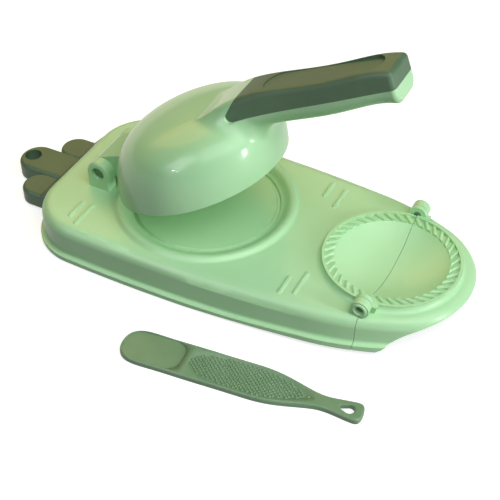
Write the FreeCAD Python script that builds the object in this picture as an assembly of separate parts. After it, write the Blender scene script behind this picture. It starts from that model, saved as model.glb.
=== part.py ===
import FreeCAD, Part
import math
import os

os.makedirs("parts", exist_ok=True)
V = FreeCAD.Vector
up = V(0, 0, 1)
across = V(0, 1, 0)

# Everything is drawn upwards from the table plane.
# It is saved with the origin at the centre of the press platform's face.
# The mould lies towards +X, the leaf handle towards -X, and the spoon on the -Y side.

# Clearances shared by all pieces
overrun = 4.0
joint_gap = 0.3
swing_gap = 0.4
pin_clearance = 0.05
seat_gap = 0.1

# Base shell
base_height = 25.7
base_stand = 0.8
base_left = 99.7
base_wall = 2.2
edge_round = 7.0
lip_height = 3.2
lip_rise = 5.0
lip_round = 0.5
skirt_flare = 2.7
skirt_cove = 2.1
rim_rise = 3.0
rim_rise_x = 22.0
rib_thickness = 1.6
rib_lift = 7.0
rib_pitch = 46.0
rib_row = 27.0

# Arcs of the base's outline: left corner, long side about its widest place, shoulder, then the nose
corner_radius = 36.3
side_radius = 1133.3
widest_x = -23.0
shoulder_radius = 158.3

# Press dish: a low ring round a flat platform, with a trimming groove between them
ring_foot_radius = 60.6
ring_crest_radius = 56.3
ring_height = 2.2
slope_foot_radius = 48.2
platform_radius = 45.2
platform_drop = 1.8
groove_depth = 1.3

# Mould: two half bowls with crimping ribs round them
mold_x = 127.4
mold_radius = 42.3
mold_height = 4.4
nose_margin = 9.6
side_margin = 15.8
mold_foot = 3.4
lip_width = 1.6
crimp_drop = 2.2
crimp_width = 5.8
bowl_depth = 13.6
crimp_rib_count = 20
crimp_rib_width = 2.4
crimp_rib_height = 1.7
crimp_rib_slant = 42.0

# Finger lift under the tip of the folding half
lift_shares = ((0.12, -0.10), (0.22, -0.06), (0.30, 0.06), (0.42, 0.46), (0.58, 0.78), (0.81, 0.95))
lift_lip = 3.2

# Mould hinge
mold_axis_lift = 0.2
lug_radius = 5.6
lug_foot = 6.6
lug_clearance = 3.5
lug_thickness = 5.4
ear_radius = 5.6
ear_reach = 8.2
mold_pin_radius = 2.35
pin_recess = 1.5

# Press hinge
hinge_x = -67.5
hinge_lift = 11.7
boss_radius = 8.3
boss_inner = 15.0
boss_thickness = 7.4
boss_round = 1.8
hinge_pin_radius = 2.9
hinge_head_radius = 4.5
hinge_head_thickness = 1.6
hinge_head_depth = 4.2
hinge_pin_grip = 9.0
open_angle = 21.65

# Press: dome, neck, handle and the flat plate under the dome
dome_radius = 56.1
dome_height = 41.2
dome_lean = 10.4
dome_fullness = 0.79
dome_gap = 0.4
press_wall = 2.2
arm_radius = 8.2
arm_reach = 22.0
plate_face_radius = 44.4
plate_gap = 1.0
plate_rim_height = 3.0
plate_rim_lift = 0.3
plate_rim_width = 2.4
plate_clearance = 0.4
plate_thickness = 2.2
ledge_width = 4.0
ledge_height = 2.0

# Handle with the press shut: shares of its reach, of its top twice (bottom and top), and of its half width
handle_reach = 151.5
handle_top = 86.2
handle_half_width = 19.0
handle_shares = (
    (0.026, 0.510, 0.742, 0.895),
    (0.198, 0.557, 0.835, 1.000),
    (0.330, 0.638, 0.912, 0.811),
    (0.449, 0.679, 0.944, 0.705),
    (0.726, 0.723, 0.972, 0.689),
    (1.000, 0.760, 1.000, 0.674),
)
top_corner_share = 0.27
bottom_corner_share = 0.55
neck_round = 14.0
handle_end_round = 2.8
handle_wall = 2.4
handle_hollow_lead = 20.052
handle_end_wall = 7.5
grip_front_x = 38.5
grip_front_z = 64.9
grip_slope = 5.8
grip_rake = 47.0
grip_tip_round = 3.2
panel_lead = 10.052
panel_end_margin = 18.0
panel_half_width = 9.6
panel_depth = 0.5
grip_screw_shares = (0.568, 0.858)
grip_boss_radius = 3.2
grip_pad_radius = 4.6
grip_pad_height = 3.0

# Screws
screw_radius = 1.4
screw_length = 9.0
screw_head_radius = 2.8
screw_head_height = 1.8

# Leaf handle
leaf_floor = 1.6
leaf_height = 11.6
leaf_step = 1.2
leaf_round = 2.8
leaf_lobe_x = -133.6
leaf_lobe_radius = 13.0
leaf_hole_x = -137.9
leaf_hole_radius = 5.7
side_lobe_x = -117.2
side_lobe_y = 22.8
side_lobe_radius = 11.2
leaf_root_depth = 6.4
leaf_root_height = 19.6
leaf_root_round = 2.0
leaf_root_half_width = 34.0
tongue_half_width = 19.0
tongue_depth = 17.0
tongue_lift = 3.6
tongue_thickness = 5.0
leaf_screw_inset = 11.0
leaf_screw_row = 11.0
leaf_boss_radius = 4.0

# Rubber feet
foot_radius = 6.5
foot_peg_radius = 3.0
foot_peg_height = 5.0
foot_flange = 2.6
foot_boss_radius = 8.0
foot_back_x = -70.0
foot_front_x = 92.0
foot_row = 47.0

# Raised marks on the skin: shares of the mark's length, the left reach and the half width, then the side
mark_width = 3.4
mark_height = 0.8
mark_length = 22.0
mark_shares = (
    (0.77, -0.692, 0.687, -1),
    (1.00, -0.620, 0.718, -1),
    (0.77, -0.692, 0.687, 1),
    (1.00, -0.620, 0.718, 1),
    (0.77, 0.788, 0.702, -1),
    (1.00, 0.870, 0.615, -1),
    (0.77, 0.661, 0.666, 1),
    (1.00, 0.763, 0.595, 1),
)

# Filling spoon, lying on the table in front of the base
spoon_length = 147.6
spoon_half_width = 13.25
spoon_thickness = 3.4
spoon_tip_x = 4.8
spoon_tip_y = -111.8
spoon_turn = 5.55
spoon_edge = 0.7
spoon_shares = (
    (0.0, 0.56),
    (0.05, 1.0),
    (0.16, 0.90),
    (0.32, 0.94),
    (0.48, 0.90),
    (0.62, 0.95),
    (0.74, 0.60),
    (0.83, 0.30),
    (0.90, 0.40),
    (0.965, 0.52),
    (1.0, 0.51),
)
blade_end_share = 0.285
blade_corner = 7.0
blade_drop = 1.0
grain_start_share = 0.35
grain_end_share = 0.82
grain_half_share = 0.80
grain_drop = 0.5
eye_place_share = 0.945
eye_radius = 3.0
eye_nose_radius = 1.2
eye_nose = 4.6

# Places worked out from the sizes above
crest_z = base_height + ring_height
mold_z = base_height + mold_height
mold_axis_z = mold_z + mold_axis_lift
hinge_z = base_height + hinge_lift
rim_z = crest_z + dome_gap
platform_z = base_height - platform_drop
nose_radius = mold_radius + nose_margin
base_half_width = nose_radius + side_margin
base_right = mold_x + nose_radius
lug_inner = mold_radius + lug_clearance
lug_outer = lug_inner + lug_thickness
boss_outer = boss_inner + boss_thickness
hinge_axis = V(hinge_x, 0, hinge_z)
far = base_left + base_right
bend_share = 1 - math.sqrt(1 / 2)


def flow(poles):
    curve = Part.BSplineCurve()
    curve.buildFromPoles(poles, False, 3)
    return curve.toShape()


def arc_about(centre, radius, start, end, z):
    turns = [math.radians(angle) for angle in (start, (start + end) / 2, end)]
    points = [V(centre.x + radius * math.cos(t), centre.y + radius * math.sin(t), z) for t in turns]
    return Part.Arc(*points).toShape()


def lines(points):
    return [Part.LineSegment(a, b).toShape() for a, b in zip(points, points[1:])]


def turned(edges, x):
    return Part.Face(Part.Wire(edges)).revolve(V(x, 0, 0), up, 360)


def rod(radius, x, z, y_from, y_to):
    return Part.makeCylinder(radius, y_to - y_from, V(x, y_from, z), across)


def block(x_from, x_to, y_from, y_to, z_from, z_to):
    return Part.makeBox(x_to - x_from, y_to - y_from, z_to - z_from, V(x_from, y_from, z_from))


def side_slab(points, y_from, y_to):
    corners = [V(x, y_from, z) for x, z in points]
    face = Part.Face(Part.makePolygon(corners + corners[:1]))
    return face.extrude(V(0, y_to - y_from, 0))


def both_sides(shape):
    return [shape, shape.mirror(V(0, 0, 0), across)]


def post(radius, x, y, z_from, z_to):
    return Part.makeCylinder(radius, z_to - z_from, V(x, y, z_from), up)


def joined(first, others):
    return first.fuse(list(others)).removeSplitter()


# Base outline: the arcs of one half run into each other, so a wider or narrower outline keeps their centres
def outline_arcs():
    side = V(widest_x, base_half_width - side_radius, 0)
    corner_x = corner_radius - base_left
    corner_y = side.y + math.sqrt((side_radius - corner_radius) ** 2 - (corner_x - side.x) ** 2)
    corner = V(corner_x, corner_y, 0)
    nose = V(mold_x, 0, 0)
    from_side = side_radius - shoulder_radius
    from_nose = shoulder_radius - nose_radius
    line = nose - side
    part = (from_side ** 2 - from_nose ** 2 + line.Length ** 2) / (2 * line.Length)
    step = math.sqrt(from_side ** 2 - part ** 2)
    shoulder = side + line * (part / line.Length) + V(-line.y, line.x, 0) * (step / line.Length)
    turns = [180.0]
    for first, second in ((side, corner), (side, shoulder), (shoulder, nose)):
        turns.append(math.degrees(math.atan2(second.y - first.y, second.x - first.x)))
    turns.append(0.0)
    centres = (corner, side, shoulder, nose)
    radii = (corner_radius, side_radius, shoulder_radius, nose_radius)
    return zip(centres, radii, turns, turns[1:])


def outline(offset, z):
    arcs = outline_arcs()
    half = [arc_about(centre, radius + offset, start, end, z) for centre, radius, start, end in arcs]
    other = [edge.mirror(V(0, 0, 0), across) for edge in half]
    first = half[0].Vertexes[0].Point
    end = Part.LineSegment(first, V(first.x, -first.y, z)).toShape()
    return Part.Wire(Part.sortEdges(half + other + [end])[0])


def level_edges(form, z):
    flat = [e for e in form.Edges if e.BoundBox.ZLength < seat_gap]
    return [e for e in flat if abs(e.BoundBox.ZMin - z) < seat_gap]


# The skirt's lip grows taller towards the mould
def lip_form(inset, low):
    body = Part.Face(outline(skirt_flare - inset, low)).extrude(V(0, 0, base_height))
    start, end = base_stand + lip_height - inset, base_stand + lip_height + lip_rise - inset
    path = [V(-far, -far, start), V(-base_left, -far, start), V(rim_rise_x, -far, start),
            V(mold_x / 2, -far, start), V(mold_x, -far, end), V(far, -far, end)]
    above = lines([path[-1], V(far, -far, far), V(-far, -far, far), path[0]])
    return body.cut(Part.Face(Part.Wire([flow(path)] + above)).extrude(V(0, far * 2, 0)))


def base_form(inset):
    low = base_stand - (overrun if inset else 0)
    top = base_height - inset
    lip = lip_form(inset, low)
    wall = Part.Face(outline(-inset, low)).extrude(V(0, 0, top - low))
    wall = wall.makeFillet(edge_round - inset, level_edges(wall, top))
    if inset:
        return joined(lip, [wall])
    brim = [e for e in lip.Edges if e.BoundBox.ZMin > low + seat_gap]
    form = joined(lip.makeFillet(lip_round, brim), [wall])
    inside = Part.Face(outline(skirt_cove / 2, base_height)).extrude(V(0, 0, -base_height))
    raised = [e for e in form.Edges if e.BoundBox.ZMin > low + seat_gap]
    raised = [e for e in raised if e.BoundBox.ZMax < top - edge_round]
    corner = [e for e in raised if all(inside.isInside(v.Point, seat_gap, True) for v in e.Vertexes)]
    return form.makeFillet(skirt_cove, corner)


# Reliefs in the base's top, each a line from its centre out to its foot
def dish_line(drop):
    floor_z = platform_z - drop
    middle = (ring_foot_radius + ring_crest_radius) / 2
    crest = V(ring_crest_radius, 0, crest_z - drop)
    slope_foot = V(slope_foot_radius, 0, floor_z)
    groove = (slope_foot_radius - platform_radius) / 4
    dip_z = floor_z - groove_depth
    flat = lines([V(0, 0, floor_z), V(platform_radius, 0, floor_z), V(platform_radius + groove, 0, dip_z),
                  V(slope_foot_radius - groove, 0, dip_z), slope_foot])
    rise = (slope_foot_radius + ring_crest_radius) / 2
    inside = flow([slope_foot, V(rise, 0, floor_z + platform_drop / 2), V(rise, 0, crest.z), crest])
    foot = V(ring_foot_radius, 0, base_height - drop)
    flank = flow([crest, V(middle, 0, crest.z), V(middle, 0, foot.z), foot])
    return flat + [inside, flank]


def mold_line(drop):
    crimp_outer = mold_radius - lip_width
    crimp_inner = crimp_outer - crimp_width
    crimp_z = mold_z - crimp_drop - drop
    top_z = mold_z - drop
    foot_z = base_height - drop
    sag = bowl_depth - crimp_drop
    sphere = (crimp_inner ** 2 + sag ** 2) / (2 * sag)
    half_r = crimp_inner / 2
    half_z = crimp_z - sag + sphere - math.sqrt(sphere ** 2 - half_r ** 2)
    bowl = Part.Arc(V(mold_x, 0, crimp_z - sag), V(mold_x + half_r, 0, half_z),
                    V(mold_x + crimp_inner, 0, crimp_z))
    lip = lines([V(mold_x + crimp_inner, 0, crimp_z), V(mold_x + crimp_outer, 0, crimp_z),
                 V(mold_x + crimp_outer, 0, top_z), V(mold_x + mold_radius, 0, top_z),
                 V(mold_x + mold_radius, 0, foot_z + mold_foot)])
    bend = mold_foot * bend_share
    side_x = mold_x + mold_radius
    cove = Part.Arc(V(side_x, 0, foot_z + mold_foot), V(side_x + bend, 0, foot_z + bend),
                    V(side_x + mold_foot, 0, foot_z))
    return [bowl.toShape()] + lip + [cove.toShape()]


def relief(line, x, z):
    start, end = line[0].Vertexes[0].Point, line[-1].Vertexes[-1].Point
    close = lines([end, V(end.x, 0, z), V(x, 0, z), start])
    return turned(line + close, x)


def crimp_ribs(side):
    outer = mold_radius - lip_width
    inner = outer - crimp_width
    floor_z = mold_z - crimp_drop
    half = crimp_rib_width / 2
    reach = crimp_width
    profile = [Part.Arc(V(-reach, -half, 0), V(-reach, 0, crimp_rib_height), V(-reach, half, 0)).toShape()]
    root = -base_wall / 2
    profile += lines([V(-reach, half, 0), V(-reach, half, root), V(-reach, -half, root), V(-reach, -half, 0)])
    bar = Part.Face(Part.Wire(profile)).extrude(V(reach * 2, 0, 0))
    bar.rotate(V(0, 0, 0), up, crimp_rib_slant)
    bar.translate(V((inner + outer) / 2, 0, floor_z))
    band = post(outer + lip_width / 2, 0, 0, mold_z - base_wall - crimp_drop, mold_z)
    band = band.cut(post(inner, 0, 0, mold_z - base_wall - crimp_drop, mold_z))
    bar = bar.common(band)
    ribs = []
    for index in range(crimp_rib_count):
        rib = bar.copy()
        rib.rotate(V(0, 0, 0), up, 180 * (index + 1 / 2) / crimp_rib_count - 90 + (180 if side < 0 else 0))
        rib.translate(V(mold_x, 0, 0))
        ribs.append(rib)
    return ribs


def rising_rim():
    low, high = base_stand, base_stand + rim_rise
    under = [(far, -overrun), (rim_rise_x, -overrun)]
    return side_slab([(rim_rise_x, low), (mold_x, high), (far, high)] + under, -far, far)


def whole_base():
    outer = base_form(0).cut(rising_rim())
    dish_top, mold_top = dish_line(0), mold_line(0)
    low = mold_z - bowl_depth - base_wall
    mold_foot_radius = mold_radius + mold_foot
    outer = outer.cut([post(ring_foot_radius, 0, 0, low, far), post(mold_foot_radius, mold_x, 0, low, far)])
    outer = joined(outer, [relief(dish_top, 0, low), relief(mold_top, mold_x, low)])
    above = base_height + overrun + mold_height
    cavity = base_form(base_wall)
    cavity = cavity.cut([relief(dish_line(base_wall), 0, above)])
    cavity = cavity.cut([relief(mold_line(base_wall), mold_x, above)])
    return outer, cavity


def skin_marks():
    radius = (mark_width ** 2 / 4 + mark_height ** 2) / (2 * mark_height)
    z = base_height + mark_height - radius
    skin = block(-far, far, -far, far, base_height - base_wall / 2, far)
    marks = []
    for share, x_share, y_share, side in mark_shares:
        half = mark_length * share / 2 - mark_width / 2
        x, y = base_left * x_share, base_half_width * y_share * side
        ends = [Part.makeSphere(radius, V(x, y + end * half, z)) for end in (-1, 1)]
        marks.append(joined(rod(radius, x, z, y - half, y + half), ends).common(skin))
    return marks


def press_boss():
    foot = base_height - base_wall / 2
    stem = block(hinge_x - boss_radius, hinge_x + boss_radius, -boss_outer, -boss_inner, foot, hinge_z)
    boss = joined(stem, [rod(boss_radius, hinge_x, hinge_z, -boss_outer, -boss_inner)])
    outside = [e for e in boss.Edges if e.BoundBox.YMax < seat_gap - boss_outer]
    boss = boss.makeFillet(boss_round, [e for e in outside if e.BoundBox.ZMax > foot + seat_gap])
    start = -boss_outer - overrun
    bore = rod(hinge_pin_radius + pin_clearance, hinge_x, hinge_z, start, overrun - boss_inner)
    head = rod(hinge_head_radius + pin_clearance, hinge_x, hinge_z, start, hinge_head_depth - boss_outer)
    return boss.cut([bore, head])


def hinge_pin():
    head_face = -boss_outer + hinge_head_depth - hinge_head_thickness
    head = rod(hinge_head_radius, hinge_x, hinge_z, head_face, head_face + hinge_head_thickness)
    shank = rod(hinge_pin_radius, hinge_x, hinge_z, head_face, -boss_inner + hinge_pin_grip)
    return joined(head, [shank])


def mold_lug():
    foot = base_height - base_wall / 2
    eye = rod(lug_radius, mold_x, mold_axis_z, -lug_outer, -lug_inner)
    edge = [(mold_x - joint_gap, foot), (mold_x - joint_gap, mold_axis_z), (mold_x - lug_radius, mold_axis_z),
            (mold_x - lug_foot, base_height), (mold_x - lug_foot, foot)]
    return joined(eye, [side_slab(edge, -lug_outer, -lug_inner)])


def mold_ear():
    inner = mold_radius - lip_width / 2
    foot = base_height - base_wall / 2
    face = -lug_inner + joint_gap
    eye = rod(ear_radius, mold_x, mold_axis_z, face, -mold_radius - joint_gap)
    arm = rod(ear_reach, mold_x, mold_axis_z, face, -inner)
    arm = arm.common(block(mold_x + joint_gap, far, -far, far, foot, mold_axis_z))
    return joined(eye, [arm])


def mold_pin():
    inner = mold_radius + joint_gap
    return rod(mold_pin_radius, mold_x, mold_axis_z, pin_recess - lug_outer, -inner)


def pin_bore(y_from, y_to):
    return rod(mold_pin_radius + pin_clearance, mold_x, mold_axis_z, y_from, y_to)


def foot_places():
    return [(x, y * foot_row) for x in (foot_back_x, foot_front_x) for y in (-1, 1)]


def leaf_screw_places():
    return [(leaf_screw_inset - base_left, y * leaf_screw_row) for y in (-1, 1)]


def base_ribs(cavity):
    low = base_stand + rib_lift
    half = rib_thickness / 2
    end = mold_x - joint_gap
    plates = [block(-far, end, y * rib_row - half, y * rib_row + half, low, far) for y in (-1, 1)]
    plates += [block(x * rib_pitch - half, x * rib_pitch + half, -far, far, low, far) for x in (-1, 0, 1, 2)]
    return [plate.common(cavity) for plate in plates]


def make_base(outer, cavity):
    split = mold_x - joint_gap / 2
    keep = block(-far, split, -far, far, -far, far)
    end_wall = outer.common(block(split - base_wall, split, -far, far, base_stand, far))
    stud_top = leaf_floor + tongue_lift + tongue_thickness
    studs = [post(leaf_boss_radius, x, y, stud_top, far) for x, y in leaf_screw_places()]
    studs += [post(foot_boss_radius, x, y, base_stand, far) for x, y in foot_places()]
    shell = outer.cut(cavity)
    shell = shell.fuse([stud.common(cavity) for stud in studs] + base_ribs(cavity))
    shell = shell.fuse(end_wall).common(keep)
    shell = shell.fuse(skin_marks() + both_sides(press_boss()) + [rib.common(keep) for rib in crimp_ribs(-1)])
    ear_room = rod(ear_radius + swing_gap, mold_x, mold_axis_z, -lug_inner, -mold_radius)
    shell = shell.cut(both_sides(ear_room)).fuse(both_sides(mold_lug()))
    shell = shell.cut(both_sides(pin_bore(-lug_outer - overrun, -lug_inner + overrun)))
    gap = seat_gap
    side = tongue_half_width + gap
    slot = block(-base_left - overrun, tongue_depth - base_left, -side, side,
                 leaf_floor + tongue_lift - gap, stud_top + gap)
    slot = slot.cut(block(leaf_screw_inset - base_left - leaf_boss_radius, far, -far, far, stud_top, far))
    pilot = screw_radius + pin_clearance
    peg_top = foot_flange + foot_peg_height
    holes = [post(pilot, x, y, 0, stud_top + screw_length) for x, y in leaf_screw_places()]
    holes += [post(foot_peg_radius + gap, x, y, 0, peg_top) for x, y in foot_places()]
    holes += [post(foot_radius + gap, x, y, 0, foot_flange) for x, y in foot_places()]
    return shell.cut([slot] + holes).removeSplitter()


def make_flip(outer, cavity):
    split = mold_x + joint_gap / 2
    keep = block(split, far, -far, far, -far, far)
    end_wall = outer.common(block(split, split + base_wall, -far, far, base_stand, far))
    shell = outer.cut(cavity).fuse(end_wall).common(keep)
    room_start, room_end = -lug_outer - joint_gap, joint_gap - lug_inner
    lug_room = rod(lug_radius + swing_gap, mold_x, mold_axis_z, room_start, room_end)
    ribs = [rib.common(keep) for rib in crimp_ribs(1)]
    shell = shell.cut(both_sides(lug_room)).fuse(both_sides(mold_ear()) + ribs)
    shell = shell.cut(both_sides(pin_bore(-lug_inner, -mold_radius - joint_gap / 2)))
    low = base_stand + rim_rise
    rise = base_height - lift_lip - low
    path = [V(mold_x + nose_radius * x, -far, low + rise * z) for x, z in lift_shares]
    path.append(V(base_right + skirt_flare, -far, low + rise))
    curve = flow(path)
    first, last = path[0], path[-1]
    under = lines([last, V(far, -far, last.z), V(far, -far, -overrun), V(first.x, -far, -overrun), first])
    scoop = Part.Face(Part.Wire([curve] + under)).extrude(V(0, far * 2, 0))
    return shell.cut(scoop).removeSplitter()


# Leaf handle
def lobe(x, y, radius, height):
    low, end = leaf_floor, -base_left + tongue_depth / 2
    edges = [Part.LineSegment(V(end, y - radius, low), V(x, y - radius, low)).toShape(),
             Part.Arc(V(x, y - radius, low), V(x - radius, y, low), V(x, y + radius, low)).toShape()]
    edges += lines([V(x, y + radius, low), V(end, y + radius, low), V(end, y - radius, low)])
    body = Part.Face(Part.Wire(edges)).extrude(V(0, 0, height))
    rim = [e for e in body.Edges if e.BoundBox.ZMin > low + height / 2 and e.BoundBox.XMin < end - seat_gap]
    return body.makeFillet(leaf_round, rim)


def make_leaf():
    centre = lobe(leaf_lobe_x, 0, leaf_lobe_radius, leaf_height)
    sides = [lobe(side_lobe_x, y * side_lobe_y, side_lobe_radius, leaf_height - leaf_step) for y in (-1, 1)]
    front, back = -base_left - skirt_flare - leaf_root_depth, -base_left + tongue_depth / 2
    side_top = leaf_floor + leaf_height - leaf_step
    root_top = leaf_floor + leaf_root_height
    edge = [(front, leaf_floor), (front, side_top), (-base_left, root_top), (back, root_top),
            (back, leaf_floor)]
    root = side_slab(edge, -leaf_root_half_width, leaf_root_half_width)
    ends = [e for e in root.Edges if e.BoundBox.YLength < seat_gap and e.BoundBox.ZMin > side_top - seat_gap]
    root = root.makeFillet(leaf_root_round, [e for e in ends if e.BoundBox.XMin < -base_left - seat_gap])
    cove_top = base_stand + lip_height + skirt_cove
    room = Part.Face(outline(seat_gap + skirt_flare, 0)).extrude(V(0, 0, cove_top + seat_gap))
    room = room.fuse(Part.Face(outline(seat_gap, 0)).extrude(V(0, 0, base_height)))
    leaf = centre.fuse(sides + [root]).cut(room)
    low = leaf_floor + tongue_lift
    tongue = block(-base_left - leaf_root_depth, tongue_depth - base_left,
                   -tongue_half_width, tongue_half_width, low, low + tongue_thickness)
    hole = post(leaf_hole_radius, leaf_hole_x, 0, 0, base_height)
    screw_holes = [post(screw_radius + seat_gap, x, y, 0, base_height) for x, y in leaf_screw_places()]
    return leaf.fuse(tongue).cut([hole] + screw_holes).removeSplitter()


def screw(x, y, seat):
    head = post(screw_head_radius, x, y, seat - screw_head_height, seat)
    return joined(head, [post(screw_radius, x, y, seat, seat + screw_length)])


# Press, modelled shut and then turned to the photographed opening
def leaned(shape):
    lean = FreeCAD.Matrix()
    lean.A13 = dome_lean / dome_height
    lean.A14 = -rim_z * lean.A13
    return shape.transformGeometry(lean)


def dome(radius, height):
    rim, crown = V(-radius, 0, 0), V(0, 0, height)
    side = flow([rim, V(-radius, 0, height * dome_fullness), V(-radius * dome_fullness, 0, height), crown])
    solid = turned([side] + lines([crown, V(0, 0, 0), rim]), 0)
    solid.translate(V(0, 0, rim_z))
    return leaned(solid)


def handle_sizes():
    scales = (handle_reach, handle_top, handle_top, handle_half_width)
    return [[scale * share for scale, share in zip(scales, shares)] for shares in handle_shares]


def handle_section(x, bottom, top, half, inset):
    low, high, side = bottom + inset, top - inset, half - inset
    marks = []
    for y, z in ((1, 1), (-1, 1), (-1, -1), (1, -1)):
        edge_z = high if z > 0 else low
        corner = side * (top_corner_share if z > 0 else bottom_corner_share)
        bend = corner * bend_share
        along = V(x, y * side, edge_z - z * corner)
        over = V(x, y * (side - corner), edge_z)
        middle = V(x, y * (side - bend), edge_z - z * bend)
        marks.append((along, middle, over) if y * z > 0 else (over, middle, along))
    edges = []
    for index, (start, middle, end) in enumerate(marks):
        edges.append(Part.Arc(start, middle, end).toShape())
        edges.append(Part.LineSegment(end, marks[(index + 1) % len(marks)][0]).toShape())
    return Part.Wire(edges)


def handle_at(x):
    sections = handle_sizes()
    for (x0, *first), (x1, *second) in zip(sections, sections[1:]):
        if x <= x1:
            break
    share = (x - x0) / (x1 - x0)
    return [a + (b - a) * share for a, b in zip(first, second)]


def handle_form():
    form = Part.makeLoft([handle_section(*section, 0) for section in handle_sizes()], True, False)
    end = [e for e in form.Edges if e.BoundBox.XMin > handle_reach - seat_gap]
    return form.makeFillet(handle_end_round, end)


def handle_hollow():
    middle = handle_sizes()[-2][0]
    places = (grip_screw_places()[0] - handle_hollow_lead, middle, handle_reach - handle_end_wall)
    return Part.makeLoft([handle_section(x, *handle_at(x), handle_wall) for x in places], True, True)


def grip_region():
    end = base_right
    rise = (end - grip_front_x) * math.tan(math.radians(grip_slope))
    top = far
    lean = (top - grip_front_z) / math.tan(math.radians(grip_rake))
    front = [(grip_front_x + lean, top), (grip_front_x, grip_front_z)]
    slab = side_slab(front + [(end, grip_front_z + rise), (end, top)], -far, far)
    tip = [e for e in slab.Edges if e.BoundBox.XMax < grip_front_x + seat_gap]
    return slab.makeFillet(grip_tip_round, tip)


def stadium_pocket():
    panel_start, panel_end = grip_screw_places()[0] - panel_lead, handle_reach - panel_end_margin
    start_top, end_top = handle_at(panel_start)[1], handle_at(panel_end)[1]
    tilt = math.degrees(math.atan2(end_top - start_top, panel_end - panel_start))
    length = panel_end - panel_start
    bar = block(0, length, -panel_half_width, panel_half_width, -panel_depth, overrun)
    ends = [post(panel_half_width, x, 0, -panel_depth, overrun) for x in (0, length)]
    pocket = joined(bar, ends)
    pocket.rotate(V(0, 0, 0), across, -tilt)
    pocket.translate(V(panel_start, 0, start_top))
    return pocket


def grip_screw_places():
    return [handle_reach * share for share in grip_screw_shares]


def grip_screw_seat(x):
    return handle_at(x)[0] + handle_wall + grip_pad_height


def make_grip(form, hollow, region):
    grip = form.common(region).cut(hollow)
    pilot = screw_radius + pin_clearance
    seats = [(x, grip_screw_seat(x)) for x in grip_screw_places()]
    studs = [post(grip_boss_radius, x, 0, seat, far).common(hollow) for x, seat in seats]
    pilots = [post(pilot, x, 0, 0, seat + screw_length) for x, seat in seats]
    return grip.fuse(studs).cut([stadium_pocket()] + pilots).removeSplitter()


def arm_form():
    barrel = rod(arm_radius, hinge_x, hinge_z, joint_gap - boss_inner, boss_inner - joint_gap)
    low = rim_z + press_wall
    edge = [(hinge_x, hinge_z + arm_radius), (hinge_x + arm_reach, hinge_z + arm_radius),
            (hinge_x + arm_reach, low), (hinge_x, low)]
    return joined(barrel, [side_slab(edge, joint_gap - boss_inner, boss_inner - joint_gap)])


def ledge():
    low = rim_z + plate_rim_lift + plate_rim_height
    inner = dome_radius - press_wall - ledge_width
    ring = post(dome_radius - press_wall / 2, 0, 0, low, low + ledge_height)
    return leaned(ring.cut(post(inner, 0, 0, low, low + ledge_height)))


def make_press(form, hollow, region):
    inside = dome(dome_radius - press_wall, dome_height - press_wall).cut(ledge())
    drop = post(dome_radius - press_wall, 0, 0, rim_z - overrun, rim_z)
    shell = dome(dome_radius, dome_height).fuse(form)
    boxes = [(e, e.BoundBox) for e in shell.Edges]
    bend = [e for e, box in boxes if 0 < box.XMin and box.XMax < dome_radius + dome_lean
            and rim_z < box.ZMin and box.ZMax < rim_z + dome_height]
    shell = shell.makeFillet(neck_round, bend).fuse(arm_form())
    shell = shell.cut([inside, drop, hollow, region])
    bore = rod(hinge_pin_radius + pin_clearance, hinge_x, hinge_z, -boss_outer, boss_outer)
    seats = [(x, grip_screw_seat(x)) for x in grip_screw_places()]
    head_radius = screw_head_radius + seat_gap
    pads = [post(grip_pad_radius, x, 0, 0, seat).common(hollow) for x, seat in seats]
    holes = [post(screw_radius + seat_gap, x, 0, 0, seat) for x, seat in seats]
    holes += [post(head_radius, x, 0, 0, seat - grip_pad_height) for x, seat in seats]
    return shell.fuse(pads).cut([bore] + holes).removeSplitter()


def make_plate():
    face_z = platform_z + plate_gap
    rim = dome_radius - press_wall - plate_clearance
    low = rim_z + plate_rim_lift
    high = low + plate_rim_height
    inner = rim - plate_rim_width
    edge = [V(0, 0, face_z), V(plate_face_radius, 0, face_z), V(rim, 0, low), V(rim, 0, high),
            V(inner, 0, high), V(inner, 0, low + plate_thickness / 2),
            V(plate_face_radius, 0, face_z + plate_thickness),
            V(0, 0, face_z + plate_thickness), V(0, 0, face_z)]
    return leaned(turned(lines(edge), 0))


# Spoon
def spoon_outline():
    points = [V(0, 0, 0)]
    points += [V(spoon_length * x, spoon_half_width * y, 0) for x, y in spoon_shares]
    points.append(V(spoon_length, 0, 0))
    half = flow(points)
    return Part.Wire([half, half.mirror(V(0, 0, 0), across)])


def drop_eye():
    x = spoon_length * eye_place_share
    lean = math.asin((eye_radius - eye_nose_radius) / eye_nose)
    edge = []
    for side in (1, -1):
        turn = V(-math.sin(lean), side * math.cos(lean), 0)
        edge += [V(x, 0, 0) + turn * eye_radius, V(x - eye_nose, 0, 0) + turn * eye_nose_radius]
    body = Part.makePolygon([edge[0], edge[1], edge[3], edge[2], edge[0]])
    flanks = Part.Face(body).extrude(V(0, 0, far))
    return flanks.fuse([post(eye_radius, x, 0, 0, far), post(eye_nose_radius, x - eye_nose, 0, 0, far)])


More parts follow.
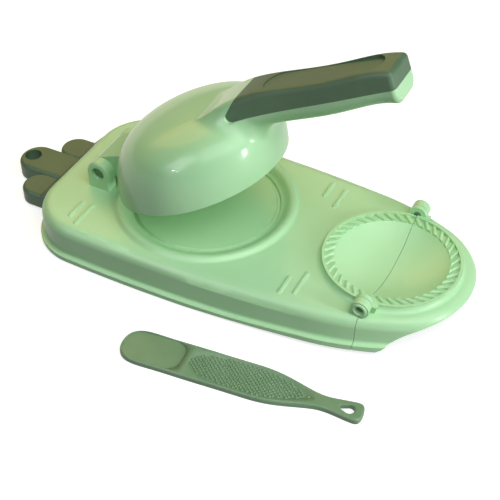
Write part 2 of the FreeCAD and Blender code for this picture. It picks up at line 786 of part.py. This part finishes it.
def make_spoon():
    plate = Part.Face(spoon_outline()).extrude(V(0, 0, spoon_thickness))
    plate = plate.makeFillet(spoon_edge, [e for e in plate.Edges if e.BoundBox.ZMin > spoon_thickness / 2])
    side = spoon_half_width + overrun
    blade = block(-overrun, spoon_length * blade_end_share, -side, side,
                  spoon_thickness - blade_drop, spoon_thickness + overrun)
    corners = [e for e in blade.Edges if e.BoundBox.ZLength > overrun and e.BoundBox.XMin > 0]
    blade = blade.makeFillet(blade_corner, corners)
    start, end = spoon_length * grain_start_share, spoon_length * grain_end_share
    grain_half = spoon_half_width * grain_half_share
    middle = (start + end) / 2
    taper = (middle + end) / 2
    edge = flow([V(start, 0, 0), V(start, grain_half, 0), V(middle, grain_half, 0), V(taper, grain_half, 0),
                 V(end, 0, 0)])
    grain = Part.Face(Part.Wire([edge, edge.mirror(V(0, 0, 0), across)])).extrude(V(0, 0, overrun))
    grain.translate(V(0, 0, spoon_thickness - grain_drop))
    spoon = plate.cut([blade, grain, drop_eye()])
    spoon.rotate(V(0, 0, 0), up, spoon_turn)
    spoon.translate(V(spoon_tip_x, spoon_tip_y, 0))
    return spoon


def make_foot(x, y):
    pad = post(foot_radius, x, y, 0, foot_flange)
    return joined(pad, [post(foot_peg_radius, x, y, foot_flange, foot_flange + foot_peg_height)])


def opened(shape):
    shape.rotate(hinge_axis, across, -open_angle)
    return shape


def save(name, shape):
    shape.translate(V(0, 0, -platform_z))
    shape.exportStep("parts/" + name + ".step")
    print(name, len(shape.Solids), round(shape.Volume), shape.isValid())


outer, cavity = whole_base()
save("base_shell", make_base(outer, cavity))
save("flip_mold", make_flip(outer, cavity))
save("leaf_handle", make_leaf())
leaf_seat = leaf_floor + tongue_lift
save("leaf_screws", Part.makeCompound([screw(x, y, leaf_seat) for x, y in leaf_screw_places()]))
for name, pin in zip(("front", "back"), both_sides(hinge_pin())):
    save("press_hinge_pin_" + name, pin)
for name, pin in zip(("front", "back"), both_sides(mold_pin())):
    save("mold_hinge_pin_" + name, pin)
for index, (x, y) in enumerate(foot_places()):
    save("rubber_foot_" + str(index + 1), make_foot(x, y))

form, hollow, region = handle_form(), handle_hollow(), grip_region()
save("press_shell", opened(make_press(form, hollow, region)))
save("grip_cover", opened(make_grip(form, hollow, region)))
save("press_plate", opened(make_plate()))
grip_screws = [screw(x, 0, grip_screw_seat(x) - grip_pad_height) for x in grip_screw_places()]
save("grip_screws", opened(Part.makeCompound(grip_screws)))
save("filling_spoon", make_spoon())
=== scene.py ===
import bpy
import bmesh
import math
from mathutils import Matrix, Vector
from mathutils.geometry import interpolate_bezier


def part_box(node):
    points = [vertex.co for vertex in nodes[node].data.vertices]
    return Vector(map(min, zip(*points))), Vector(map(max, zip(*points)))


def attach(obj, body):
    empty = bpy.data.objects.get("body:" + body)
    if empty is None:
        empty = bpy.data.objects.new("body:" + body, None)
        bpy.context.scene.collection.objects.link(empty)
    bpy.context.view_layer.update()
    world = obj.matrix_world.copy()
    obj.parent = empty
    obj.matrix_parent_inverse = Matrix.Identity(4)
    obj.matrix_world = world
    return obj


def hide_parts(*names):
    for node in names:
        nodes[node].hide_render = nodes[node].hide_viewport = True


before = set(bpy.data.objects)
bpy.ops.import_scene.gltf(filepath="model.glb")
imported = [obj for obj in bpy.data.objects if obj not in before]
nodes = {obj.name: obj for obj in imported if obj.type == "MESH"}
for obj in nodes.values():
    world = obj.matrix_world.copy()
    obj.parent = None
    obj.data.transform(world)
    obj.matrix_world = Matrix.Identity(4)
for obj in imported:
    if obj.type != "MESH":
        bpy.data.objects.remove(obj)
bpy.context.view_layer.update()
scene = bpy.context.scene
scene.view_settings.view_transform = "Standard"
print("frame loaded:", len(nodes), "nodes")

fullTurn = 2 * math.pi
tiny = 1e-6  # metres, closer than this is the same place


# mesh helpers
def facing(place, aim):
    turn = (Vector(aim) - Vector(place)).to_track_quat("-Z", "Y").to_matrix().to_4x4()
    return Matrix.Translation(place) @ turn


def vertsOf(geom):
    return [item for item in geom if isinstance(item, bmesh.types.BMVert)]


def addRun(form, points, closed=False):
    verts = [form.verts.new(point) for point in points]
    ends = verts[1:] + verts[:1] if closed else verts[1:]
    return verts + [form.edges.new(pair) for pair in zip(verts, ends)]


def looseObject(name, form):
    mesh = bpy.data.meshes.new(name)
    form.to_mesh(mesh)
    form.free()
    thing = bpy.data.objects.new(name, mesh)
    scene.collection.objects.link(thing)
    return thing


def addPiece(name, form, finish, body):
    piece = looseObject(name, form)
    piece.data.materials.append(finish)
    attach(piece, body)
    return piece


def softenShade(piece, sharpAngle):
    piece.data.shade_smooth()
    piece.data.set_sharp_from_angle(angle=sharpAngle)


# camera, fitted to the photograph's rings and outline
camera = {
    "place": (0.2627, -0.4516, 0.4369),
    "aim": (0.0490, -0.0343, 0.0062),
    "roll": math.radians(0.16),
    "lens": 75.9,
    "sensor": 36.0,
    "nearest": 0.01,
}


def placeCamera():
    data = bpy.data.cameras.new("photoCamera")
    data.lens = camera["lens"]
    data.sensor_width = camera["sensor"]
    data.clip_start = camera["nearest"]
    holder = bpy.data.objects.new("photoCamera", data)
    roll = Matrix.Rotation(camera["roll"], 4, "Z")
    holder.matrix_world = facing(camera["place"], camera["aim"]) @ roll
    scene.collection.objects.link(holder)
    scene.camera = holder


placeCamera()
print("camera placed")


# shader helpers: a value is a number or another node's output
def feed(tree, node, values):
    for socket, value in values.items():
        if isinstance(value, bpy.types.NodeSocket):
            tree.links.new(value, node.inputs[socket])
        else:
            node.inputs[socket].default_value = value


def addNode(tree, kind, values=None, **settings):
    node = tree.nodes.new(kind)
    for name, value in settings.items():
        setattr(node, name, value)
    feed(tree, node, values or {})
    return node


def mathNode(tree, operation, first, second):
    node = addNode(tree, "ShaderNodeMath", {0: first, 1: second}, operation=operation)
    return node.outputs[0]


def newMaterial(name):
    material = bpy.data.materials.new(name)
    material.use_nodes = True
    tree = material.node_tree
    return material, tree, tree.nodes["Principled BSDF"]


def newGroup(name, inputs, outputs):
    tree = bpy.data.node_groups.new(name, "ShaderNodeTree")
    kind = "NodeSocketFloat"
    for label, value in inputs.items():
        socket = tree.interface.new_socket(label, in_out="INPUT", socket_type=kind)
        socket.default_value = value
    for label in outputs:
        tree.interface.new_socket(label, in_out="OUTPUT", socket_type=kind)
    return tree, tree.nodes.new("NodeGroupInput"), tree.nodes.new("NodeGroupOutput")


# moulded skin: cloudy tint, fine pits, faint scuff lines and polish that wanders
skinForm = {
    "cloudDetail": 3.0,
    "cloudMiddle": 0.5,
    "grainDetail": 2.0,
    "scuffTurn": (0.2, 0.1, 0.7),
    "scuffScale": (14.0, 420.0, 60.0),
    "scuffDetail": 2.0,
    "scuffFrom": 0.66,
    "scuffTo": 0.74,
    "tintFrom": 0.3,
    "tintTo": 0.7,
    "bumpDistance": 0.0002,
    "ior": 1.49,
    "coatRoughness": 0.06,
}


def buildMouldedSkin():
    inputs = {"Cloud Size": 30.0, "Grain Size": 900.0, "Polish": 0.3,
              "Polish Spread": 0.06, "Scuff Depth": 0.1}
    tree, start, end = newGroup("mouldedSkin", inputs, ("Cloud", "Height", "Roughness"))
    given = start.outputs
    where = addNode(tree, "ShaderNodeTexCoord").outputs["Object"]
    cloud = addNode(tree, "ShaderNodeTexNoise", {
        "Vector": where, "Scale": given["Cloud Size"], "Detail": skinForm["cloudDetail"],
    }).outputs["Fac"]
    grain = addNode(tree, "ShaderNodeTexNoise", {
        "Vector": where, "Scale": given["Grain Size"], "Detail": skinForm["grainDetail"],
    }).outputs["Fac"]
    lean = addNode(tree, "ShaderNodeMapping", {
        "Vector": where, "Rotation": skinForm["scuffTurn"], "Scale": skinForm["scuffScale"],
    }).outputs["Vector"]
    streak = addNode(tree, "ShaderNodeTexNoise", {
        "Vector": lean, "Scale": 1.0, "Detail": skinForm["scuffDetail"],
    }).outputs["Fac"]
    fine = addNode(tree, "ShaderNodeMapRange", {
        "Value": streak, "From Min": skinForm["scuffFrom"], "From Max": skinForm["scuffTo"],
    }, interpolation_type="SMOOTHSTEP").outputs["Result"]
    scuff = mathNode(tree, "MULTIPLY", fine, given["Scuff Depth"])
    wander = mathNode(tree, "SUBTRACT", cloud, skinForm["cloudMiddle"])
    spread = mathNode(tree, "MULTIPLY", wander, given["Polish Spread"])
    polish = mathNode(tree, "ADD", spread, given["Polish"])
    feed(tree, end, {
        "Cloud": cloud,
        "Height": mathNode(tree, "SUBTRACT", grain, scuff),
        "Roughness": mathNode(tree, "ADD", polish, scuff),
    })
    return tree


mouldedSkin = buildMouldedSkin()


def mouldedFinish(look):
    material, tree, shader = newMaterial(look["material"])
    skin = addNode(tree, "ShaderNodeGroup", {
        "Cloud Size": look["cloudSize"], "Grain Size": look["grainSize"],
        "Polish": look["polish"], "Polish Spread": look["polishSpread"],
        "Scuff Depth": look["scuff"],
    }, node_tree=mouldedSkin).outputs
    tint = addNode(tree, "ShaderNodeValToRGB", {"Fac": skin["Cloud"]})
    stops = zip(tint.color_ramp.elements, ("tintFrom", "tintTo"), ("deep", "pale"))
    for stop, place, shade in stops:
        stop.position = skinForm[place]
        stop.color = (*look[shade], 1.0)
    bump = addNode(tree, "ShaderNodeBump", {
        "Height": skin["Height"], "Strength": look["bump"],
        "Distance": skinForm["bumpDistance"],
    })
    feed(tree, shader, {
        "Base Color": tint.outputs["Color"],
        "Roughness": skin["Roughness"],
        "Normal": bump.outputs["Normal"],
        "Metallic": look["metal"],
        "IOR": skinForm["ior"],
        "Specular IOR Level": look["gleam"],
        "Coat Weight": look["coat"],
        "Coat Roughness": skinForm["coatRoughness"],
    })
    return material


# finishes, each with the CAD pieces that wear it
looks = {
    "lightGreen": {
        "material": "lightGreenPlastic",
        "wornBy": ("base_shell", "flip_mold", "press_plate"),
        "deep": (0.448, 0.735, 0.418), "pale": (0.502, 0.780, 0.465), "cloudSize": 14.0,
        "grainSize": 700.0, "bump": 0.05, "scuff": 0.10, "polish": 0.36, "polishSpread": 0.10,
        "coat": 0.06, "gleam": 0.38, "metal": 0.0,
    },
    "glossGreen": {
        "material": "glossGreenPlastic",
        "wornBy": ("press_shell",),
        "deep": (0.412, 0.700, 0.395), "pale": (0.460, 0.750, 0.436), "cloudSize": 16.0,
        "grainSize": 420.0, "bump": 0.03, "scuff": 0.10, "polish": 0.36, "polishSpread": 0.08,
        "coat": 0.28, "gleam": 0.38, "metal": 0.0,
    },
    "olive": {
        "material": "olivePlastic",
        "wornBy": ("leaf_handle", "grip_cover"),
        "deep": (0.070, 0.134, 0.072), "pale": (0.096, 0.172, 0.096), "cloudSize": 40.0,
        "grainSize": 1500.0, "bump": 0.25, "scuff": 0.10, "polish": 0.46, "polishSpread": 0.10,
        "coat": 0.0, "gleam": 0.5, "metal": 0.0,
    },
    "sage": {
        "material": "sagePlastic",
        "wornBy": ("filling_spoon",),
        "deep": (0.172, 0.290, 0.160), "pale": (0.208, 0.330, 0.195), "cloudSize": 45.0,
        "grainSize": 1200.0, "bump": 0.15, "scuff": 0.12, "polish": 0.42, "polishSpread": 0.10,
        "coat": 0.0, "gleam": 0.5, "metal": 0.0,
    },
    # the pins are real parts; their dark green is painted shade of the recessed holes they sit
    # in
    "pinPaintedShade": {
        "material": "pinPaintedShadePlastic",
        "wornBy": ("press_hinge_pin_front", "press_hinge_pin_back",
                   "mold_hinge_pin_front", "mold_hinge_pin_back"),
        "deep": (0.10, 0.22, 0.10), "pale": (0.13, 0.26, 0.12), "cloudSize": 90.0,
        "grainSize": 1500.0, "bump": 0.15, "scuff": 0.10, "polish": 0.40, "polishSpread": 0.10,
        "coat": 0.0, "gleam": 0.5, "metal": 0.0,
    },
    "rubber": {
        "material": "footRubber",
        "wornBy": ("rubber_foot_1", "rubber_foot_2", "rubber_foot_3", "rubber_foot_4"),
        "deep": (0.075, 0.085, 0.065), "pale": (0.11, 0.12, 0.095), "cloudSize": 120.0,
        "grainSize": 1800.0, "bump": 0.5, "scuff": 0.08, "polish": 0.72, "polishSpread": 0.15,
        "coat": 0.0, "gleam": 0.5, "metal": 0.0,
    },
    "steel": {
        "material": "screwSteel",
        "wornBy": ("leaf_screws", "grip_screws"),
        "deep": (0.50, 0.50, 0.49), "pale": (0.62, 0.62, 0.60), "cloudSize": 300.0,
        "grainSize": 2500.0, "bump": 0.2, "scuff": 0.15, "polish": 0.32, "polishSpread": 0.2,
        "coat": 0.0, "gleam": 0.5, "metal": 1.0,
    },
}
finishes = {name: mouldedFinish(look) for name, look in looks.items()}
for name, look in looks.items():
    for wearer in look["wornBy"]:
        for slot in nodes[wearer].material_slots:
            slot.material = finishes[name]
print("finishes assigned")


# filling spoon: the CAD outline with a rimmed blade, a sunk panel and rounded edges
# lengths run from the tip towards the eye
spoonForm = {
    "tip": (0.0048, -0.1118),
    "turn": math.radians(5.55),
    "thickness": 0.0034,
    "edgeRound": 0.0013,
    "eyeRound": 0.0008,
    "roundSegments": 4,
    "rimAngle": 1.0,  # radians, a sharper edge is part of the rim
    "rimSlack": 1e-5,
    "eyeStart": 0.130,
    "eyeEnd": 0.1445,
    "eyeHalf": 0.0035,
    "bladeStart": 0.0016,
    "bladeEnd": 0.0388,
    "bladeHalf": 0.0111,
    "bladeTipRound": 0.0088,
    "bladeStepRound": 0.0080,
    "bladeSegments": 12,
    "bladeDrop": 0.0008,
    "panelStart": 0.0430,
    "panelEnd": 0.1185,
    "panelHalf": 0.0107,
    "panelDrop": 0.0006,
    "panelFlare": (1.03, 1.10),
    "panelSteps": 24,
    "sharpAngle": math.radians(32),
}
spoonTurn = Matrix.Rotation(spoonForm["turn"], 4, "Z")
spoonPlace = Matrix.Translation((*spoonForm["tip"], 0.0)) @ spoonTurn
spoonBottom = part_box("filling_spoon")[0].z
spoonTop = spoonBottom + spoonForm["thickness"]
panelFloor = spoonTop - spoonForm["panelDrop"]


def panelEdge():
    start, end, half = spoonForm["panelStart"], spoonForm["panelEnd"], spoonForm["panelHalf"]
    middle = (start + end) / 2
    taper = (middle + end) / 2
    near, far = (start + middle) / 2, (middle + taper) / 2
    joint = Vector(((near + far) / 2, half, 0.0))
    first = interpolate_bezier(
        Vector((start, 0.0, 0.0)), Vector((start, half, 0.0)), Vector((near, half, 0.0)),
        joint, spoonForm["panelSteps"])
    second = interpolate_bezier(
        joint, Vector((far, half, 0.0)), Vector((taper, half, 0.0)),
        Vector((end, 0.0, 0.0)), spoonForm["panelSteps"])
    return first + second[1:]


def nearEye(edge):
    middle = (edge.verts[0].co + edge.verts[1].co) / 2
    along = spoonForm["eyeStart"] < middle.x < spoonForm["eyeEnd"]
    return along and abs(middle.y) < spoonForm["eyeHalf"]


def onRim(edge):
    high = min(vert.co.z for vert in edge.verts) > spoonTop - spoonForm["rimSlack"]
    return high and edge.calc_face_angle(0.0) > spoonForm["rimAngle"]


def spoonPlate():
    form = bmesh.new()
    form.from_mesh(nodes["filling_spoon"].data)
    bmesh.ops.remove_doubles(form, verts=form.verts, dist=tiny)
    # only the flat underside stays, and is made as thick as the spoon
    upper = [face for face in form.faces if face.calc_center_median().z > spoonBottom + tiny]
    bmesh.ops.delete(form, geom=upper, context="FACES")
    bmesh.ops.transform(form, matrix=spoonPlace.inverted(), verts=form.verts)
    bmesh.ops.solidify(form, geom=form.faces[:], thickness=spoonForm["thickness"])
    lift = spoonBottom - min(vert.co.z for vert in form.verts)
    bmesh.ops.translate(form, verts=form.verts, vec=(0.0, 0.0, lift))
    bmesh.ops.recalc_face_normals(form, faces=form.faces)
    rim = [edge for edge in form.edges if onRim(edge)]
    for offset, inEye in ((spoonForm["edgeRound"], False), (spoonForm["eyeRound"], True)):
        loop = [edge for edge in rim if edge.is_valid and nearEye(edge) == inEye]
        bmesh.ops.bevel(form, geom=loop, offset=offset, segments=spoonForm["roundSegments"],
                        profile=0.5, affect="EDGES", material=-1)
    return form


def uprightAt(edge, x):
    first, second = (vert.co for vert in edge.verts)
    level = abs(first.y - second.y) < tiny
    return level and abs(first.x - x) < tiny and abs(second.x - x) < tiny


def bladeCutter():
    form = bmesh.new()
    start, end, half = spoonForm["bladeStart"], spoonForm["bladeEnd"], spoonForm["bladeHalf"]
    bmesh.ops.create_cube(form, size=1.0)
    size = (end - start, 2 * half, 2 * spoonForm["bladeDrop"])
    bmesh.ops.scale(form, verts=form.verts, vec=size)
    bmesh.ops.translate(form, verts=form.verts, vec=((start + end) / 2, 0.0, spoonTop))
    for x, key in ((start, "bladeTipRound"), (end, "bladeStepRound")):
        posts = [edge for edge in form.edges if uprightAt(edge, x)]
        bmesh.ops.bevel(form, geom=posts, offset=spoonForm[key],
                        segments=spoonForm["bladeSegments"],
                        profile=0.5, affect="EDGES", material=-1)
    return form


def panelCutter():
    form = bmesh.new()
    edge = panelEdge()
    outline = [(point.x, point.y, panelFloor) for point in edge]
    outline += [(point.x, -point.y, panelFloor) for point in edge[-2:0:-1]]
    floor = form.faces.new([form.verts.new(point) for point in outline])
    raised = bmesh.ops.extrude_face_region(form, geom=[floor], use_keep_orig=True)["geom"]
    rise = (0.0, 0.0, 2 * spoonForm["panelDrop"])
    bmesh.ops.translate(form, verts=vertsOf(raised), vec=rise)
    # wider above than below, so the panel's walls slope
    middle = (spoonForm["panelStart"] + spoonForm["panelEnd"]) / 2
    bmesh.ops.scale(form, verts=vertsOf(raised), vec=(*spoonForm["panelFlare"], 1.0),
                    space=Matrix.Translation((-middle, 0.0, 0.0)))
    bmesh.ops.recalc_face_normals(form, faces=form.faces)
    return form


def buildSpoon():
    plate = looseObject("spoonPlate", spoonPlate())
    cutters = [looseObject("bladeCutter", bladeCutter()),
               looseObject("panelCutter", panelCutter())]
    for cutter in cutters:
        cut = plate.modifiers.new(cutter.name, "BOOLEAN")
        cut.operation = "DIFFERENCE"
        cut.solver = "EXACT"
        cut.object = cutter
    # the cuts are applied here, so the piece keeps no modifier
    bpy.context.view_layer.update()
    evaluated = plate.evaluated_get(bpy.context.evaluated_depsgraph_get())
    form = bmesh.new()
    form.from_mesh(bpy.data.meshes.new_from_object(evaluated))
    for spare in (plate, *cutters):
        bpy.data.objects.remove(spare)
    bmesh.ops.transform(form, matrix=spoonPlace, verts=form.verts)
    piece = addPiece("fillingSpoon", form, finishes["sage"], "spoon")
    softenShade(piece, spoonForm["sharpAngle"])
    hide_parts("filling_spoon")


# spoon grain: rows of blunt diamonds on the floor of the spoon's panel
spoonGrain = {
    "margin": 0.0013,
    "pitch": (0.0029, 0.0026),
    "foot": (0.00128, 0.00114),
    "crown": 0.30,  # share of the foot
    "sink": 0.00005,
    "height": 0.00075,
}


def halfWidthAt(edge, x):
    for before, after in zip(edge, edge[1:]):
        if before.x <= x <= after.x and after.x > before.x:
            share = (x - before.x) / (after.x - before.x)
            return before.y + (after.y - before.y) * share
    return 0.0


def addDiamond(form, x, y):
    low, high = panelFloor - spoonGrain["sink"], panelFloor + spoonGrain["height"]
    stretch = Matrix.Diagonal((*spoonGrain["foot"], 1.0, 1.0))
    bmesh.ops.create_cone(form, cap_ends=True, segments=4, radius1=1.0,
                          radius2=spoonGrain["crown"], depth=high - low,
                          matrix=Matrix.Translation((x, y, (low + high) / 2)) @ stretch)


def buildSpoonGrain():
    form = bmesh.new()
    edge = panelEdge()
    stepX, stepY = spoonGrain["pitch"]
    columns = int((spoonForm["panelEnd"] - spoonForm["panelStart"]) / (stepX / 2)) + 1
    rows = int(spoonForm["panelHalf"] / stepY) + 1
    for column in range(columns):
        x = spoonForm["panelStart"] + column * stepX / 2
        reach = min(halfWidthAt(edge, x) - spoonGrain["margin"],
                    halfWidthAt(edge, x - spoonGrain["margin"]))
        for row in range(-rows, rows + 1):
            y = (row + (column % 2) / 2) * stepY
            if abs(y) < reach:
                addDiamond(form, x, y)
    bmesh.ops.transform(form, matrix=spoonPlace, verts=form.verts)
    addPiece("spoonGrain", form, finishes["sage"], "spoon")


buildSpoon()
buildSpoonGrain()
print("spoon built")


# screws: pan heads with a cross recess and a cut thread, in place of the plain ones
screwForm = {
    "headRadius": 0.0028,
    "headHeight": 0.0018,
    "headRound": 0.0007,
    "roundSteps": 4,
    "headSteps": 40,
    "crossReach": 0.0016,
    "crossHalf": 0.00034,
    "crossDepth": 0.0010,
    "crossTaper": (0.6, 0.8),
    "shankRadius": 0.00112,
    "length": 0.0090,
    "tip": 0.0016,
    "tipShare": 0.15,  # of the shank's radius
    "crestRadius": 0.0014,
    "pitch": 0.0011,
    "threadStart": 0.5,  # these two in pitches
    "threadHalf": 0.34,
    "threadFoot": 0.96,  # of the shank's radius
    "turnSteps": 18,
    "leafPlaces": ((-0.0887, -0.0110, -0.0187), (-0.0887, 0.0110, -0.0187)),
    "gripPlaces": ((0.086052, 0.0, 0.041664), (0.129987, 0.0, 0.045358)),
    "hinge": (-0.0675, 0.0, 0.0135),
    "opening": math.radians(-21.65),
}
screwAxis = (0.0, 0.0, 1.0)


def spinRound(form, radiiAndHeights, steps):
    run = addRun(form, [(radius, 0.0, z) for radius, z in radiiAndHeights])
    bmesh.ops.spin(form, geom=run, axis=screwAxis, angle=fullTurn, steps=steps, use_merge=True)


def openRim(form, z):
    return [edge for edge in form.edges if edge.is_boundary
            and all(abs(vert.co.z - z) < tiny for vert in edge.verts)]


def addScrewCross(form):
    half, drop = screwForm["crossHalf"], screwForm["headHeight"]
    # the first thing in a screw's mesh: a square, with an arm drawn out of each side
    bmesh.ops.create_grid(form, x_segments=1, y_segments=1, size=half)
    bmesh.ops.translate(form, verts=form.verts, vec=(0.0, 0.0, -drop))
    for side in form.edges[:]:
        middle = (side.verts[0].co + side.verts[1].co) / 2
        out = Vector((middle.x, middle.y, 0.0)).normalized()
        arm = bmesh.ops.extrude_edge_only(form, edges=[side])["geom"]
        bmesh.ops.translate(form, verts=vertsOf(arm), vec=out * (screwForm["crossReach"] - half))
    mouth = form.faces[:]
    floor = bmesh.ops.extrude_face_region(form, geom=mouth, use_keep_orig=True)["geom"]
    bmesh.ops.translate(form, verts=vertsOf(floor), vec=(0.0, 0.0, screwForm["crossDepth"]))
    bmesh.ops.scale(form, verts=vertsOf(floor), vec=(*screwForm["crossTaper"], 1.0))
    bmesh.ops.delete(form, geom=mouth, context="FACES")


def addScrewHead(form):
    radius, height, soft = (screwForm[key] for key in ("headRadius", "headHeight", "headRound"))
    profile = [(radius, 0.0)]
    for step in range(screwForm["roundSteps"] + 1):
        turn = math.pi / 2 * step / screwForm["roundSteps"]
        inward, down = soft * (1 - math.cos(turn)), soft * (1 - math.sin(turn))
        profile.append((radius - inward, down - height))
    spinRound(form, profile, screwForm["headSteps"])
    bmesh.ops.edgeloop_fill(form, edges=openRim(form, 0.0))
    bmesh.ops.triangle_fill(form, use_beauty=True, edges=openRim(form, -height))


def addScrewShank(form):
    root, length = screwForm["shankRadius"], screwForm["length"]
    profile = ((root, 0.0), (root, length - screwForm["tip"]),
               (root * screwForm["tipShare"], length))
    spinRound(form, profile, screwForm["turnSteps"])
    for z in (0.0, length):
        bmesh.ops.edgeloop_fill(form, edges=openRim(form, z))


def addScrewThread(form):
    pitch, steps = screwForm["pitch"], screwForm["turnSteps"]
    foot = screwForm["shankRadius"] * screwForm["threadFoot"]
    start, half = pitch * screwForm["threadStart"], pitch * screwForm["threadHalf"]
    run = addRun(form, ((foot, 0.0, start - half), (screwForm["crestRadius"], 0.0, start),
                        (foot, 0.0, start + half)))
    cut = screwForm["length"] - screwForm["tip"] - pitch
    count = int(cut / pitch * steps) - 1
    bmesh.ops.spin(form, geom=run, axis=screwAxis, dvec=(0.0, 0.0, pitch / steps),
                   angle=fullTurn * count / steps, steps=count)


def buildScrews(name, node, places, turn, body):
    form = bmesh.new()
    addScrewCross(form)
    addScrewHead(form)
    addScrewShank(form)
    addScrewThread(form)
    bmesh.ops.recalc_face_normals(form, faces=form.faces)
    pattern = form.verts[:] + form.edges[:] + form.faces[:]
    for place in places:
        copied = bmesh.ops.duplicate(form, geom=pattern)["geom"]
        bmesh.ops.translate(form, verts=vertsOf(copied), vec=place)
    bmesh.ops.delete(form, geom=vertsOf(pattern), context="VERTS")
    # the grip's places are given with the press shut, and swing up with it
    hinge = Matrix.Translation(screwForm["hinge"])
    swing = hinge @ Matrix.Rotation(turn, 4, "Y") @ hinge.inverted()
    bmesh.ops.transform(form, matrix=swing, verts=form.verts)
    piece = addPiece(name, form, finishes["steel"], body)
    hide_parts(node)


buildScrews("leafScrews", "leaf_screws", screwForm["leafPlaces"], 0.0, "base")
buildScrews("gripScrews", "grip_screws", screwForm["gripPlaces"], screwForm["opening"], "press")
print("screws built")


# lug collars: soft raised rims round the holes of the mould's hinge lugs
lugCollar = {
    "centre": (0.1274, 0.0064),
    "face": 0.0512,
    "bore": 0.00255,
    "outer": 0.0047,
    "height": 0.0009,
    "sink": 0.0002,
    "archSteps": 8,
    "steps": 48,
    "sharpAngle": math.radians(32),
}


def collarSection():
    bore, outer, sink = lugCollar["bore"], lugCollar["outer"], lugCollar["sink"]
    section = []
    for step in range(lugCollar["archSteps"] + 1):
        turn = math.pi * step / lugCollar["archSteps"]
        radius = (outer + bore) / 2 + (outer - bore) / 2 * math.cos(turn)
        section.append((radius, lugCollar["height"] * math.sin(turn)))
    return section + [(bore, -sink), (outer, -sink)]


def buildLugCollars():
    form = bmesh.new()
    x, z = lugCollar["centre"]
    for side in (-1, 1):
        points = [(x + radius, side * (lugCollar["face"] + out), z)
                  for radius, out in collarSection()]
        bmesh.ops.spin(form, geom=addRun(form, points, closed=True), cent=(x, 0.0, z),
                       axis=(0.0, 1.0, 0.0), angle=fullTurn, steps=lugCollar["steps"],
                       use_merge=True)
    bmesh.ops.recalc_face_normals(form, faces=form.faces)
    piece = addPiece("lugCollars", form, finishes["lightGreen"], "base")
    softenShade(piece, lugCollar["sharpAngle"])


buildLugCollars()
print("lug collars built")


# floor and world: white to the camera, dim to other light, with the object's shadow kept
studio = {
    "floorGap": 0.0002,
    "floorSize": 40.0,
    "floorRoughness": 0.9,
    "floorPale": 0.50,
    "floorBounce": 0.05,
    "nearLift": 0.72,
    "farLift": 1.0,
    "farFrom": 0.55,
    "farTo": 1.60,
    "worldShade": (0.055, 0.105, 0.070),
}


def floorMaterial():
    material, tree, shader = newMaterial("paleFloor")
    path = addNode(tree, "ShaderNodeLightPath").outputs
    seen = mathNode(tree, "MAXIMUM", path["Is Camera Ray"], path["Is Glossy Ray"])
    seen = mathNode(tree, "MAXIMUM", seen, path["Is Transmission Ray"])
    shade = addNode(tree, "ShaderNodeMapRange", {
        "Value": seen, "To Min": studio["floorBounce"], "To Max": studio["floorPale"],
    })
    where = addNode(tree, "ShaderNodeTexCoord").outputs["Object"]
    reach = addNode(tree, "ShaderNodeVectorMath", {"Vector": where}, operation="LENGTH")
    lift = addNode(tree, "ShaderNodeMapRange", {
        "Value": reach.outputs["Value"],
        "From Min": studio["farFrom"], "From Max": studio["farTo"],
        "To Min": studio["nearLift"], "To Max": studio["farLift"],
    }, interpolation_type="SMOOTHSTEP")
    feed(tree, shader, {
        "Base Color": shade.outputs["Result"],
        "Roughness": studio["floorRoughness"],
        "Specular IOR Level": 0.0,
        "Emission Color": (1.0, 1.0, 1.0, 1.0),
        "Emission Strength": mathNode(tree, "MULTIPLY", seen, lift.outputs["Result"]),
    })
    return material


def buildFloor():
    form = bmesh.new()
    bmesh.ops.create_grid(form, x_segments=1, y_segments=1, size=studio["floorSize"] / 2)
    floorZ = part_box("filling_spoon")[0].z - studio["floorGap"]
    bmesh.ops.translate(form, verts=form.verts, vec=(0.0, 0.0, floorZ))
    floor = looseObject("floor", form)
    floor.data.materials.append(floorMaterial())


def buildWorld():
    world = bpy.data.worlds.new("studioWorld")
    scene.world = world
    world.use_nodes = True
    background = world.node_tree.nodes["Background"]
    background.inputs["Color"].default_value = (*studio["worldShade"], 1.0)


# lamps: one warm from behind, soft ones, and windows for the highlights
# a glossOnly lamp shows as a highlight and lights nothing else
lamps = {
    "warmBackLeft": {
        "place": (-0.85, 0.75, 0.90), "aim": (0.02, 0.0, 0.05), "size": (1.4, 1.0),
        "power": 9.5, "colour": (1.0, 0.62, 0.24), "glossOnly": False,
    },
    "softRight": {
        "place": (0.90, -0.12, 0.95), "aim": (0.06, 0.0, 0.0), "size": (0.7, 0.7),
        "power": 4.0, "colour": (0.94, 1.0, 1.0), "glossOnly": False,
    },
    "softTop": {
        "place": (0.40, -0.52, 1.22), "aim": (0.02, -0.02, 0.0), "size": (1.1, 1.1),
        "power": 9.8, "colour": (0.98, 1.0, 1.0), "glossOnly": False,
    },
    "softFront": {
        "place": (-0.42, -0.84, 0.80), "aim": (0.03, -0.05, 0.02), "size": (0.6, 0.6),
        "power": 5.0, "colour": (0.96, 1.0, 1.0), "glossOnly": True,
    },
    "windowRight": {
        "place": (1.12, -0.10, 0.30), "aim": (0.08, 0.0, 0.02), "size": (0.14, 0.32),
        "power": 5.5, "colour": (0.98, 1.0, 1.0), "glossOnly": False,
    },
    "windowFrontLeft": {
        "place": (-0.38, -1.05, 0.48), "aim": (0.01, -0.05, 0.06), "size": (0.20, 0.035),
        "power": 1.8, "colour": (1.0, 1.0, 1.0), "glossOnly": True,
    },
}


def hangLamps():
    for name, lamp in lamps.items():
        data = bpy.data.lights.new(name, "AREA")
        data.shape = "RECTANGLE"
        data.size, data.size_y = lamp["size"]
        data.energy = lamp["power"]
        data.color = lamp["colour"]
        holder = bpy.data.objects.new(name, data)
        holder.matrix_world = facing(lamp["place"], lamp["aim"])
        holder.visible_diffuse = not lamp["glossOnly"]
        scene.collection.objects.link(holder)


buildFloor()
buildWorld()
hangLamps()
print("studio lit")
